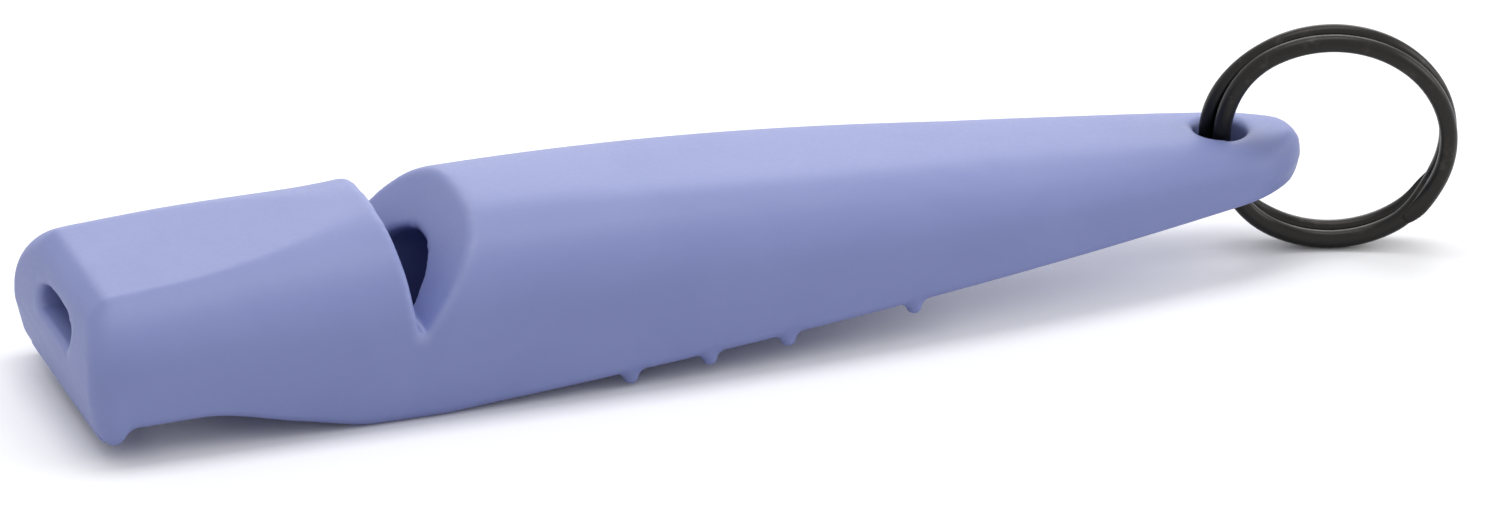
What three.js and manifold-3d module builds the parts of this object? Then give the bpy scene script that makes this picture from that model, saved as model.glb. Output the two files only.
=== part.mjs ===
// A moulded pealess dog whistle with its split ring, lying on its belly as it rests on a table.
// Millimetres, +Z up, +X from the mouth to the tail. The origin is the middle of the flat under the belly.

import * as THREE from 'three';
import { mergeVertices } from 'three/addons/utils/BufferGeometryUtils.js';
import Module from 'manifold-3d';

const wasm = await Module();
wasm.setup();

// Body from the mouth face to the tail
const BODY_LENGTH = 82;
const NOTCH_FRONT = 20;
const EYE_FROM_END = 5.3;
const TAIL_ROUNDING = 4.8;

// Widths of the body, and how the tail narrows
const MOUTH_WIDTH = 18.7;
const SHOULDER_WIDTH = 17.7;
const TAIL_WIDTH = 8.9;
const WIDTH_TAPER_POWER = 2.2;

// Heights of the crest above the table
const MOUTH_CREST = 9.9;
const NOTCH_CREST = 11.85;
const SHOULDER_CREST = 11.9;
const TAIL_CREST = 8.85;
const MOUTH_RISE_POWER = 1.25;
const CREST_TAPER_POWER = 1.5;

// Underside, stretch by stretch from the mouth: bite lip, heel, recess, run-out, belly and rise to the tail
const LIP_LENGTH = 0.9;
const LIP_HEIGHT = 0.95;
const LIP_HEEL_LENGTH = 1.2;
const LIP_HEEL_HEIGHT = 2.1;
const RECESS_LENGTH = 4.3;
const RECESS_HEIGHT = 2.2;
const RUN_OUT_LENGTH = 6.6;
const RUN_OUT_HEIGHT = 0.9;
const BELLY_APPROACH = 5;
const BELLY_LENGTH = 4.5;
const TAIL_UNDERSIDE = 5;

// Cross-section of the body
const SIDE_SPRING_SHARE = 0.4;
const ARCH_POWER = 2.4;
const UNDERSIDE_DRAFT = 0.35;
const UNDERSIDE_FILLET = 0.8;
const MOUTH_RIM_FILLET = 1.3;
const LIP_EDGE_FILLET = 0.35;
const TAIL_EDGE_FILLET = 1.3;
const MOUTH_FLAT_WIDTH = 11;
const MOUTH_FLAT_LENGTH = 20;
const LABEL_FLAT_WIDTH = 7;
const LABEL_FLAT_LENGTH = 34.2;
const TAIL_FLAT_WIDTH = 3.2;
const TAIL_FLAT_LENGTH = 14.3;
const TAIL_FLAT_FULL_LENGTH = 2.3;
const LEAST_FLAT_WIDTH = 0.5;
const WIDEST_FLAT_SHARE = 0.7;

// Forward bulge of the mouth end
const MOUTH_BULGE = 1.05;
const MOUTH_BULGE_LENGTH = 4;
const MOUTH_BULGE_MIDDLE = 5.2;
const MOUTH_BULGE_REACH = 4.4;

// Notch and voicing ramp
const NOTCH_FLOOR = 5.8;
const NOTCH_FLOOR_LENGTH = 0.2;
const NOTCH_WALL_DRAFT = 0.6;
const RAMP_LENGTH = 5;

// Windway, tone chamber and the pocket for the fipple block
const WINDWAY_WIDTH = 6.9;
const WINDWAY_HEIGHT = 1.9;
const WINDWAY_CROWN = 0.5;
const WINDWAY_MOUTH_FLOOR = 5.8;
const WINDWAY_RISE = 1.1;
const FRONT_WALL = 1.2;
const SIDE_WALL = 4.05;
const CHAMBER_SPRING = 5.9;
const CHAMBER_CROWN = 2.7;
const CHAMBER_LENGTH = 15;

// Base cover
const COVER_LEDGE = 0.9;
const COVER_THICKNESS = 1.2;
const COVER_LANDING = 3;
const LIP_BAR_OVERLAP = 0.8;
const LIP_BAR_HEIGHT = 0.6;
const LIP_BAR_INSET = 1.4;
const JOINT_GAP = 0.15;

// Eye for the ring
const EYE_CLEARANCE = 0.45;
const EYE_FLARE = 0.6;

// Pips along both lower edges
const PIPS_IN_ROW = 3;
const PIP_PITCH = 5.3;
const FIRST_PIP_FROM_BELLY = 12.3;
const LONE_PIP_FROM_BELLY = 31.5;
const PIP_DIAMETER = 1.2;
const PIP_DROP = 0.85;
const PIP_INSET = 1.15;

// Split ring
const RING_RADIUS = 7.5;
const WIRE_DIAMETER = 1.1;
const STRAND_GAP = 0.45;
const RING_TURNS = 2;
const RING_STEPS_PER_TURN = 32;
const WIRE_SIDES = 8;
const CROSSOVER_ANGLE = 30;
const CROSSOVER_PLACE = -22;
const RING_SWING_AT_REST = -17;
const RING_LEAN = 9;
const RING_SET_BACK = 0.1;

// Room for a cut to pass clear of the outer surface
const CUT_MARGIN = 4;

// Steps of the round stretches and of the body's length
const FILLET_STEPS = 3;
const RIM_STEPS = 6;
const ARCH_STEPS = 9;
const UNDERSIDE_STEPS = 36;
const STATION_SPACING = 2.8;
const LEAST_STATION_STEPS = 3;
const EYE_SIDES = 32;
const PIP_STEPS = 4;
const PIP_SIDES = 12;

const radians = THREE.MathUtils.degToRad;

// Places along the body, measured from the mouth face
const lipHeel = LIP_LENGTH + LIP_HEEL_LENGTH;
const recess = lipHeel + RECESS_LENGTH;
const runOut = recess + RUN_OUT_LENGTH;
const bellyStart = runOut + BELLY_APPROACH;
const bellyEnd = bellyStart + BELLY_LENGTH;
const notchWallFoot = NOTCH_FRONT + NOTCH_WALL_DRAFT;
const rampFoot = notchWallFoot + NOTCH_FLOOR_LENGTH;
const shoulder = rampFoot + RAMP_LENGTH;
const labelFlatEnd = shoulder + LABEL_FLAT_LENGTH;
const chamberEnd = NOTCH_FRONT + CHAMBER_LENGTH;
const coverEnd = chamberEnd + COVER_LANDING;
const eyePosition = BODY_LENGTH - EYE_FROM_END;

// Widths inside the body, from its narrower end
const chamberWidth = Math.min(MOUTH_WIDTH, SHOULDER_WIDTH) - 2 * SIDE_WALL;
const coverWidth = chamberWidth + 2 * COVER_LEDGE;
const lipBarWidth = MOUTH_WIDTH - 2 * LIP_BAR_INSET;

// Both strands of the ring, which stands on the table and leans
const strandPitch = WIRE_DIAMETER + STRAND_GAP;
const lean = radians(RING_LEAN);
const ringHeight = RING_RADIUS * Math.cos(lean) + (strandPitch / 2) * Math.sin(lean) + WIRE_DIAMETER / 2;

const lilacAbs = new THREE.MeshStandardMaterial({ color: 0x8f98ca, roughness: 0.48, metalness: 0 });
const coverAbs = new THREE.MeshStandardMaterial({ color: 0x8891c4, roughness: 0.5, metalness: 0 });
const blockAbs = new THREE.MeshStandardMaterial({ color: 0x7f88bb, roughness: 0.5, metalness: 0 });
const blackSteel = new THREE.MeshStandardMaterial({ color: 0x2b2b2d, roughness: 0.35, metalness: 0.9 });

// Solid for joining and cutting, from a closed three.js geometry.
function solidOf(geometry) {
  const bare = geometry.clone();
  bare.deleteAttribute('normal');
  bare.deleteAttribute('uv');
  const merged = mergeVertices(bare, 1e-5);
  return new wasm.Manifold(new wasm.Mesh({
    numProp: 3,
    vertProperties: new Float32Array(merged.attributes.position.array),
    triVerts: new Uint32Array(merged.index.array),
  }));
}

// Geometry with flat faces, from a solid.
function geometryOf(solid) {
  const mesh = solid.getMesh();
  const geometry = new THREE.BufferGeometry();
  geometry.setAttribute('position', new THREE.BufferAttribute(mesh.vertProperties, 3));
  geometry.setIndex(new THREE.BufferAttribute(mesh.triVerts, 1));
  geometry.computeVertexNormals();
  return geometry;
}

// Closed skin over rings that have the same even number of points each, with a ladder of flat strips at both ends.
function loft(rings) {
  const sides = rings[0].length;
  const points = rings.flat().flatMap((point) => point.toArray());
  const faces = [];
  for (let ring = 0; ring < rings.length - 1; ring += 1) {
    for (let side = 0; side < sides; side += 1) {
      const a = ring * sides + side;
      const b = ring * sides + (side + 1) % sides;
      faces.push(a, b, a + sides, b, b + sides, a + sides);
    }
  }
  const last = (rings.length - 1) * sides;
  for (let rung = 0; rung < sides / 2 - 1; rung += 1) {
    const [a, b, c, d] = [rung, rung + 1, sides - 2 - rung, sides - 1 - rung];
    faces.push(a, c, b, a, d, c);
    faces.push(last + a, last + b, last + c, last + a, last + c, last + d);
  }
  const geometry = new THREE.BufferGeometry();
  geometry.setAttribute('position', new THREE.Float32BufferAttribute(points, 3));
  geometry.setIndex(faces);
  return geometry;
}

// Smooth curve through [x, height] points that never overshoots them.
function profile(points) {
  const secants = points.slice(1).map(([x, z], i) => (z - points[i][1]) / (x - points[i][0]));
  const slopes = points.map((_, i) => {
    const before = secants[Math.max(i - 1, 0)];
    const after = secants[Math.min(i, secants.length - 1)];
    return before * after > 0 ? (2 * before * after) / (before + after) : 0;
  });
  return (x) => {
    const found = points.findIndex(([end]) => end > x);
    const i = found < 0 ? points.length - 2 : Math.max(found - 1, 0);
    const span = points[i + 1][0] - points[i][0];
    const t = THREE.MathUtils.clamp((x - points[i][0]) / span, 0, 1);
    const rise = t * t * (3 - 2 * t);
    return points[i][1] * (1 - rise) + points[i + 1][1] * rise
      + span * t * (1 - t) * (slopes[i] * (1 - t) - slopes[i + 1] * t);
  };
}

// Height of the underside, from the bite lip to the end of the belly and up to the tail.
const underFront = profile([
  [0, LIP_HEIGHT],
  [LIP_LENGTH, LIP_HEIGHT],
  [lipHeel, LIP_HEEL_HEIGHT],
  [recess, RECESS_HEIGHT],
  [runOut, RUN_OUT_HEIGHT],
  [bellyStart, 0],
  [bellyEnd, 0],
]);

function underside(x) {
  if (x <= bellyEnd) return underFront(x);
  return TAIL_UNDERSIDE * (x - bellyEnd) / (BODY_LENGTH - bellyEnd);
}

// Share of the way from the shoulder to the eye.
function tailShare(x) {
  return Math.max(0, (x - shoulder) / (eyePosition - shoulder));
}

function halfWidth(x) {
  if (x <= shoulder) return THREE.MathUtils.lerp(MOUTH_WIDTH, SHOULDER_WIDTH, x / shoulder) / 2;
  return (SHOULDER_WIDTH - (SHOULDER_WIDTH - TAIL_WIDTH) * tailShare(x) ** WIDTH_TAPER_POWER) / 2;
}

function crest(x) {
  const rise = (x / NOTCH_FRONT) ** MOUTH_RISE_POWER;
  if (x <= NOTCH_FRONT) return THREE.MathUtils.lerp(MOUTH_CREST, NOTCH_CREST, rise);
  return SHOULDER_CREST - (SHOULDER_CREST - TAIL_CREST) * tailShare(x) ** CREST_TAPER_POWER;
}

// Half the width of the flat on top: the bite flat at the mouth, the oval label flat and the tail's flat.
function halfFlat(x) {
  const tailFlatStart = eyePosition - TAIL_FLAT_LENGTH;
  const tailFlatFull = eyePosition - TAIL_FLAT_FULL_LENGTH;
  let width = TAIL_FLAT_WIDTH * THREE.MathUtils.smoothstep(x, tailFlatStart, tailFlatFull);
  if (x < MOUTH_FLAT_LENGTH) width = MOUTH_FLAT_WIDTH * (1 - (x / MOUTH_FLAT_LENGTH) ** 3);
  const along = (2 * (x - shoulder)) / (labelFlatEnd - shoulder) - 1;
  if (Math.abs(along) < 1) width = LABEL_FLAT_WIDTH * Math.sqrt(1 - along * along);
  return Math.max(width, LEAST_FLAT_WIDTH) / 2;
}

// How far a rounded edge lies inside the full outline, at a distance in from the end.
function roundOver(radius, into) {
  const short = Math.max(0, radius - into);
  return radius - Math.sqrt(radius ** 2 - short ** 2);
}

// How far the mouth end stands forward of a flat face, at a place along the body and a height.
function mouthBulge(x, z) {
  const offMiddle = (z - MOUTH_BULGE_MIDDLE) / MOUTH_BULGE_REACH;
  const fade = 1 - THREE.MathUtils.smoothstep(x, 0, MOUTH_BULGE_LENGTH);
  return MOUTH_BULGE * Math.max(0, 1 - offMiddle ** 2) * fade;
}

// One ring of the outer skin: flat underside with filleted edges, bowed sides, an arched top cut by a flat.
function bodyRing(x) {
  const inset = roundOver(MOUTH_RIM_FILLET, x);
  const tailInset = roundOver(TAIL_EDGE_FILLET, BODY_LENGTH - x);
  const intoTail = THREE.MathUtils.clamp((x - BODY_LENGTH + TAIL_ROUNDING) / TAIL_ROUNDING, 0, 1);
  const plan = Math.sqrt(1 - intoTail ** 2);
  const top = crest(x) - inset - tailInset;
  const bottom = underside(x) + roundOver(LIP_EDGE_FILLET, x) + tailInset;
  const half = halfWidth(x) * plan - inset;
  const flat = Math.min(halfFlat(x) * plan, half * WIDEST_FLAT_SHARE);
  const fillet = Math.min(UNDERSIDE_FILLET, half / 2);
  const draft = Math.min(UNDERSIDE_DRAFT, half / 4);
  const spring = THREE.MathUtils.lerp(bottom, top, SIDE_SPRING_SHARE);
  const archHeight = (top - spring) / (1 - (flat / half) ** ARCH_POWER) ** (1 / ARCH_POWER);
  const filletCentre = half - draft - fillet;
  const right = [];
  for (let step = 0; step <= FILLET_STEPS; step += 1) {
    const angle = (step / FILLET_STEPS - 1) * Math.PI / 2;
    right.push([filletCentre + fillet * Math.cos(angle), bottom + fillet + fillet * Math.sin(angle)]);
  }
  const archEnd = Math.acos((flat / half) ** (ARCH_POWER / 2));
  for (let step = 0; step <= ARCH_STEPS; step += 1) {
    const angle = (archEnd * step) / ARCH_STEPS;
    right.push([
      half * Math.cos(angle) ** (2 / ARCH_POWER),
      spring + archHeight * Math.sin(angle) ** (2 / ARCH_POWER),
    ]);
  }
  const left = right.map(([y, z]) => [-y, z]).reverse();
  return [...right, ...left].map(([y, z]) => new THREE.Vector3(x - mouthBulge(x, z), y, z));
}

// Places of the rings: even steps between the changes of the outline, and round steps at both ends.
function bodyStations() {
  const tailStart = BODY_LENGTH - TAIL_ROUNDING;
  const rimSteps = Array.from({ length: RIM_STEPS + 1 }, (_, i) => (
    MOUTH_RIM_FILLET * (1 - Math.cos((i / RIM_STEPS) * Math.PI / 2))
  ));
  const tailSteps = [15, 30, 45, 58, 70, 80, 86].map((angle) => (
    tailStart + TAIL_ROUNDING * Math.sin(radians(angle))
  ));
  const undersideMarks = [LIP_LENGTH, lipHeel, recess, runOut, bellyStart, bellyEnd];
  const marks = [MOUTH_RIM_FILLET, ...undersideMarks, shoulder, tailStart].filter((x) => x >= MOUTH_RIM_FILLET);
  marks.sort((a, b) => a - b);
  const evenSteps = marks.slice(1).flatMap((to, i) => {
    const span = to - marks[i];
    const count = span > 0 ? Math.max(LEAST_STATION_STEPS, Math.ceil(span / STATION_SPACING)) : 0;
    return Array.from({ length: count }, (_, step) => marks[i] + (span * (step + 1)) / count);
  });
  return [...rimSteps, ...evenSteps, ...tailSteps];
}

// Solid with a side outline of [x, z] points, centred across the body.
function sidePrism(outline, width) {
  const shape = new THREE.Shape(outline.map(([x, z]) => new THREE.Vector2(x, z)));
  const geometry = new THREE.ExtrudeGeometry(shape, { depth: width, bevelEnabled: false });
  geometry.rotateX(Math.PI / 2);
  geometry.translate(0, width / 2, 0);
  return solidOf(geometry);
}

// Solid with an upright-sided, arched end outline, run along the body from one place to another.
function archPrism(from, to, width, bottom, spring, top) {
  const shape = new THREE.Shape();
  const rise = top - spring;
  const radius = (width * width / 4 + rise * rise) / (2 * rise);
  const reach = Math.asin(width / 2 / radius);
  shape.moveTo(-width / 2, bottom);
  shape.lineTo(width / 2, bottom);
  shape.lineTo(width / 2, spring);
  shape.absarc(0, top - radius, radius, Math.PI / 2 - reach, Math.PI / 2 + reach, false);
  shape.closePath();
  const settings = { depth: to - from, bevelEnabled: false, curveSegments: ARCH_STEPS };
  const geometry = new THREE.ExtrudeGeometry(shape, settings);
  geometry.rotateX(Math.PI / 2);
  geometry.rotateZ(Math.PI / 2);
  geometry.translate(from, 0, 0);
  return geometry;
}

function windwayFloor(x) {
  return WINDWAY_MOUTH_FLOOR + (WINDWAY_RISE * x) / NOTCH_FRONT;
}

// Windway: an arched slot that rises from the mouth to the notch.
function windwayCut() {
  const spring = WINDWAY_MOUTH_FLOOR + WINDWAY_HEIGHT - WINDWAY_CROWN;
  const top = WINDWAY_MOUTH_FLOOR + WINDWAY_HEIGHT;
  const slot = archPrism(-CUT_MARGIN, notchWallFoot, WINDWAY_WIDTH, WINDWAY_MOUTH_FLOOR, spring, top);
  const slope = new THREE.Matrix4().makeShear(0, WINDWAY_RISE / NOTCH_FRONT, 0, 0, 0, 0);
  return solidOf(slot.applyMatrix4(slope));
}

// Notch across the whole body: a near-upright front wall, a narrow floor and the voicing ramp.
function notchCut() {
  const sky = Math.max(NOTCH_CREST, SHOULDER_CREST) + CUT_MARGIN;
  const rampSlope = RAMP_LENGTH / (SHOULDER_CREST - NOTCH_FLOOR);
  return sidePrism([
    [notchWallFoot, NOTCH_FLOOR],
    [rampFoot, NOTCH_FLOOR],
    [rampFoot + rampSlope * (sky - NOTCH_FLOOR), sky],
    [NOTCH_FRONT, sky],
    [NOTCH_FRONT, NOTCH_CREST],
  ], Math.max(MOUTH_WIDTH, SHOULDER_WIDTH) + 2 * CUT_MARGIN);
}

// Points along the underside, raised by an offset.
function undersideLine(from, to, offset) {
  return Array.from({ length: UNDERSIDE_STEPS + 1 }, (_, i) => {
    const x = from + ((to - from) * i) / UNDERSIDE_STEPS;
    return [x, underside(x) + offset];
  });
}

// Space that the base cover takes up, grown by a gap: the lip bar across the mouth and the strip behind it.
function coverSpace(gap) {
  const barTop = LIP_HEIGHT + LIP_BAR_HEIGHT + gap;
  const barEnd = FRONT_WALL + LIP_BAR_OVERLAP + gap;
  const bar = sidePrism([
    [-CUT_MARGIN, -CUT_MARGIN],
    [barEnd, -CUT_MARGIN],
    [barEnd, barTop],
    [-CUT_MARGIN, barTop],
  ], lipBarWidth + 2 * gap);
  const front = FRONT_WALL - gap;
  const back = coverEnd + gap;
  const strip = sidePrism([
    [back, -CUT_MARGIN],
    ...undersideLine(front, back, COVER_THICKNESS + gap).reverse(),
    [front, -CUT_MARGIN],
  ], coverWidth + 2 * gap);
  return bar.add(strip);
}

// Pocket for the fipple block, open below.
function blockPocket() {
  return sidePrism([
    [FRONT_WALL, -CUT_MARGIN],
    [notchWallFoot, -CUT_MARGIN],
    [notchWallFoot, windwayFloor(notchWallFoot) + JOINT_GAP],
    [FRONT_WALL, windwayFloor(FRONT_WALL) + JOINT_GAP],
  ], chamberWidth);
}

// Eye through the tail, flared at both faces, as wide as the strands and what their lean takes up in it.
const eyeLow = underside(eyePosition);
const eyeHigh = crest(eyePosition);
const eyeBoreLength = eyeHigh - eyeLow - 2 * EYE_FLARE;
const eyeDiameter = strandPitch + WIRE_DIAMETER + eyeBoreLength * Math.tan(lean) + 2 * EYE_CLEARANCE;

function eyeCut() {
  const radius = eyeDiameter / 2;
  const wide = radius + EYE_FLARE + CUT_MARGIN;
  const outline = [
    [0, eyeLow - CUT_MARGIN],
    [wide, eyeLow - CUT_MARGIN],
    [radius, eyeLow + EYE_FLARE],
    [radius, eyeHigh - EYE_FLARE],
    [wide, eyeHigh + CUT_MARGIN],
    [0, eyeHigh + CUT_MARGIN],
  ].map(([r, z]) => new THREE.Vector2(r, z));
  const geometry = new THREE.LatheGeometry(outline, EYE_SIDES);
  geometry.rotateX(Math.PI / 2);
  geometry.translate(eyePosition, 0, 0);
  return solidOf(geometry);
}

// Places of the pips: an even row, then one on its own nearer the tail.
function pipPlaces() {
  const row = Array.from({ length: PIPS_IN_ROW }, (_, i) => bellyEnd + FIRST_PIP_FROM_BELLY + i * PIP_PITCH);
  return [...row, bellyEnd + LONE_PIP_FROM_BELLY];
}

// Round-ended pip standing down from the underside.
function pip(x, side) {
  const radius = PIP_DIAMETER / 2;
  const straight = UNDERSIDE_FILLET + PIP_DROP - radius;
  const outline = [new THREE.Vector2(0, 0), new THREE.Vector2(radius, 0)];
  for (let step = 0; step <= PIP_STEPS; step += 1) {
    const angle = (step / PIP_STEPS) * Math.PI / 2;
    outline.push(new THREE.Vector2(radius * Math.cos(angle), straight + radius * Math.sin(angle)));
  }
  const geometry = new THREE.LatheGeometry(outline, PIP_SIDES);
  geometry.rotateX(-Math.PI / 2);
  geometry.translate(x, side * (halfWidth(x) - PIP_INSET), underside(x) + UNDERSIDE_FILLET);
  return solidOf(geometry);
}

function makeBody() {
  const outer = solidOf(loft(bodyStations().map(bodyRing)));
  const chamber = solidOf(archPrism(
    NOTCH_FRONT, chamberEnd, chamberWidth, -CUT_MARGIN, CHAMBER_SPRING, CHAMBER_SPRING + CHAMBER_CROWN,
  ));
  let body = outer
    .subtract(notchCut())
    .subtract(chamber)
    .subtract(blockPocket())
    .subtract(windwayCut())
    .subtract(coverSpace(JOINT_GAP))
    .subtract(eyeCut());
  for (const x of pipPlaces()) {
    body = body.add(pip(x, -1)).add(pip(x, 1));
  }
  const mesh = new THREE.Mesh(geometryOf(body), lilacAbs);
  mesh.name = 'body';
  return mesh;
}

function makeBaseCover() {
  const outer = solidOf(loft(bodyStations().map(bodyRing)));
  const mesh = new THREE.Mesh(geometryOf(outer.intersect(coverSpace(0))), coverAbs);
  mesh.name = 'base_cover';
  return mesh;
}

function makeFippleBlock() {
  const front = FRONT_WALL + JOINT_GAP;
  const back = NOTCH_FRONT - JOINT_GAP;
  const blank = sidePrism([
    [front, 0],
    [back, 0],
    [back, windwayFloor(back)],
    [front, windwayFloor(front)],
  ], chamberWidth - 2 * JOINT_GAP);
  const block = blank.subtract(coverSpace(JOINT_GAP));
  const mesh = new THREE.Mesh(geometryOf(block), blockAbs);
  mesh.name = 'fipple_block';
  return mesh;
}

// Place of the wire's centre at an angle along its winding: the ring's middle at the origin, its axis on Y.
// Each turn lies flat, and the wire crosses over from the first to the second in a short stretch.
function wireCentre(turned) {
  const crossing = THREE.MathUtils.clamp((turned - 360 + CROSSOVER_ANGLE) / CROSSOVER_ANGLE, 0, 1);
  const across = (THREE.MathUtils.smoothstep(crossing, 0, 1) - 0.5) * strandPitch;
  const angle = radians(turned + CROSSOVER_PLACE);
  return new THREE.Vector3(RING_RADIUS * Math.cos(angle), across, RING_RADIUS * Math.sin(angle));
}

function wireAngles() {
  const steps = RING_TURNS * RING_STEPS_PER_TURN;
  const end = RING_TURNS * 360 - CROSSOVER_ANGLE;
  return Array.from({ length: steps + 1 }, (_, i) => (end * i) / steps);
}

// Least gap between the wire and its own other turn, measured on points along it.
function leastWireGap() {
  const angles = Array.from({ length: 721 }, (_, i) => (i / 720) * wireAngles().at(-1));
  const centres = angles.map(wireCentre);
  let least = Infinity;
  for (let a = 0; a < angles.length; a += 1) {
    for (let b = a + 1; b < angles.length; b += 1) {
      if (angles[b] - angles[a] > 180) least = Math.min(least, centres[a].distanceTo(centres[b]));
    }
  }
  return least - WIRE_DIAMETER;
}

function makeSplitRing() {
  const rings = wireAngles().map((turned) => {
    const centre = wireCentre(turned);
    const outward = new THREE.Vector3(centre.x, 0, centre.z).normalize();
    return Array.from({ length: WIRE_SIDES }, (_, i) => {
      const angle = (i / WIRE_SIDES) * 2 * Math.PI;
      const reach = WIRE_DIAMETER / 2;
      return centre.clone()
        .addScaledVector(outward, reach * Math.cos(angle))
        .add(new THREE.Vector3(0, reach * Math.sin(angle), 0));
    });
  });
  const mesh = new THREE.Mesh(geometryOf(solidOf(loft(rings))), blackSteel);
  mesh.name = 'split_ring';
  console.log(`split ring: least gap between its turns ${leastWireGap().toFixed(2)} mm`);
  return mesh;
}

const whistle = new THREE.Group();
whistle.add(makeBody(), makeBaseCover(), makeFippleBlock());

// How far the ring's curve bows away from its innermost point, at a height above the table.
function ringBow(height) {
  return RING_RADIUS - Math.sqrt(RING_RADIUS ** 2 - ((height - ringHeight) / Math.cos(lean)) ** 2);
}

// The ring leans in the eye, with the strands set back from the middle of it, and stands on the table.
const eyeMiddle = (eyeLow + eyeHigh) / 2;
const bowInEye = (ringBow(eyeLow + EYE_FLARE) + ringBow(eyeHigh - EYE_FLARE)) / 2;
const ringLean = new THREE.Group();
ringLean.position.set(RING_RADIUS - bowInEye - RING_SET_BACK, (eyeMiddle - ringHeight) * Math.tan(lean), 0);
ringLean.rotation.x = lean;
ringLean.add(makeSplitRing());
const ringSwing = new THREE.Group();
ringSwing.position.set(eyePosition, 0, ringHeight);
ringSwing.rotation.z = radians(RING_SWING_AT_REST);
ringSwing.add(ringLean);
whistle.add(ringSwing);
whistle.position.x = -(bellyStart + bellyEnd) / 2;

export default whistle;
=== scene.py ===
"""Looks of a pealess dog whistle and its split ring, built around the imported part.

The moulded pieces are made in millimetres, measured from the mouth face.
They are then put into the frame, in metres.
"""

import logging
import math
from collections.abc import Callable, Sequence
from dataclasses import dataclass, field
from enum import Enum
from functools import cached_property

import bmesh
import bpy
from bmesh.types import BMEdge, BMesh, BMFace, BMVert
from mathutils import Matrix, Vector
from mathutils.bvhtree import BVHTree
from mathutils.kdtree import KDTree


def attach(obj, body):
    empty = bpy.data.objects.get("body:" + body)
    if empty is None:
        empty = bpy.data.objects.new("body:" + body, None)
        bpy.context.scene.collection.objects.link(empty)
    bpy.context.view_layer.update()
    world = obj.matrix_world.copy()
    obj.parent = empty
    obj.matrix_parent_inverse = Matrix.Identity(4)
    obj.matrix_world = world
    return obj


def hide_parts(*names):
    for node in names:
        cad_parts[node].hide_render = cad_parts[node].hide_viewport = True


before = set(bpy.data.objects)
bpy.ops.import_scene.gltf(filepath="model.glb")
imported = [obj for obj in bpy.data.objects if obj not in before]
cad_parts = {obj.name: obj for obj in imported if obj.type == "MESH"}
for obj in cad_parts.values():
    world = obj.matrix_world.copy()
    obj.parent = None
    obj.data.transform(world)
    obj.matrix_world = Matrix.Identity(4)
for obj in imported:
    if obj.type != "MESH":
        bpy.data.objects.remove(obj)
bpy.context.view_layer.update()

log = logging.getLogger("dog_whistle")

MM = 0.001
PHOTO_WIDTH = 1500
# Attribute that says how near a vertex is to a proud corner
RUBBED = "rubbed"
# Millimetres within which the points of a turned shape that lie on its axis are merged
AXIS_MERGE = 1e-4
# Watts per square metre of a lamp's front at which it shines white
WHITE_LAMP = 4.0
# Sockets of a Mix node for colours, by number because other sockets have the same names
MIX_SHARE = 0
MIX_FIRST = 6
MIX_SECOND = 7
MIX_RESULT = 2

Outline = Sequence[tuple[float, float]]


class Body(Enum):
    """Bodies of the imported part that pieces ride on."""

    WHISTLE = "whistle"
    RING = "ring"


class Slot(Enum):
    """Material slots of the record."""

    PLASTIC = "lilac_abs"
    STEEL = "black_steel"


class Cut(Enum):
    """How a tool solid changes a blank."""

    AWAY = "DIFFERENCE"
    JOIN = "UNION"
    KEEP = "INTERSECT"


def lerp(start: float, end: float, share: float) -> float:
    """Value at a share of the way from start to end."""
    return start + (end - start) * share


def smoothstep(low: float, high: float, value: float) -> float:
    """Eased share, from 0 at low to 1 at high."""
    share = min(max((value - low) / (high - low), 0.0), 1.0)
    return share * share * (3.0 - 2.0 * share)


def per_metre(size_mm: float) -> float:
    """Texture scale that repeats a pattern at a real size in millimetres."""
    return 1.0 / (size_mm * MM)


def linear(hex_colour: str) -> tuple[float, float, float, float]:
    """Turns an sRGB hex colour into linear RGBA.

    Args:
        hex_colour: Six hex digits after a hash sign.

    Returns:
        Linear red, green and blue, with an alpha of 1.
    """
    shares = [int(hex_colour[place:place + 2], 16) / 255.0 for place in (1, 3, 5)]
    values = [share / 12.92 if share <= 0.04045 else ((share + 0.055) / 1.055) ** 2.4 for share in shares]
    return (*values, 1.0)


def add_node(
    tree: bpy.types.NodeTree,
    kind: str,
    settings: dict[str | int, object] | None = None,
    links: dict[str | int, bpy.types.NodeSocket] | None = None,
) -> bpy.types.Node:
    """Adds a node with its settings and links.

    Args:
        tree: Tree that gets the node.
        kind: Blender's name of the node's type.
        settings: Values by input name or number, or by property name.
        links: Sockets that feed the node, by input name or number.

    Returns:
        The new node.
    """
    node = tree.nodes.new(kind)
    for name, value in (settings or {}).items():
        if isinstance(name, int) or name in node.inputs:
            node.inputs[name].default_value = value
        else:
            setattr(node, name, value)
    for name, socket in (links or {}).items():
        tree.links.new(socket, node.inputs[name])
    return node


def new_material(name: str) -> tuple[bpy.types.Material, bpy.types.NodeTree]:
    """Makes a material with an empty node tree.

    Args:
        name: What the material is.

    Returns:
        The material and its tree.
    """
    material = bpy.data.materials.new(name)
    material.use_nodes = True
    material.node_tree.nodes.clear()
    return material, material.node_tree


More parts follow.
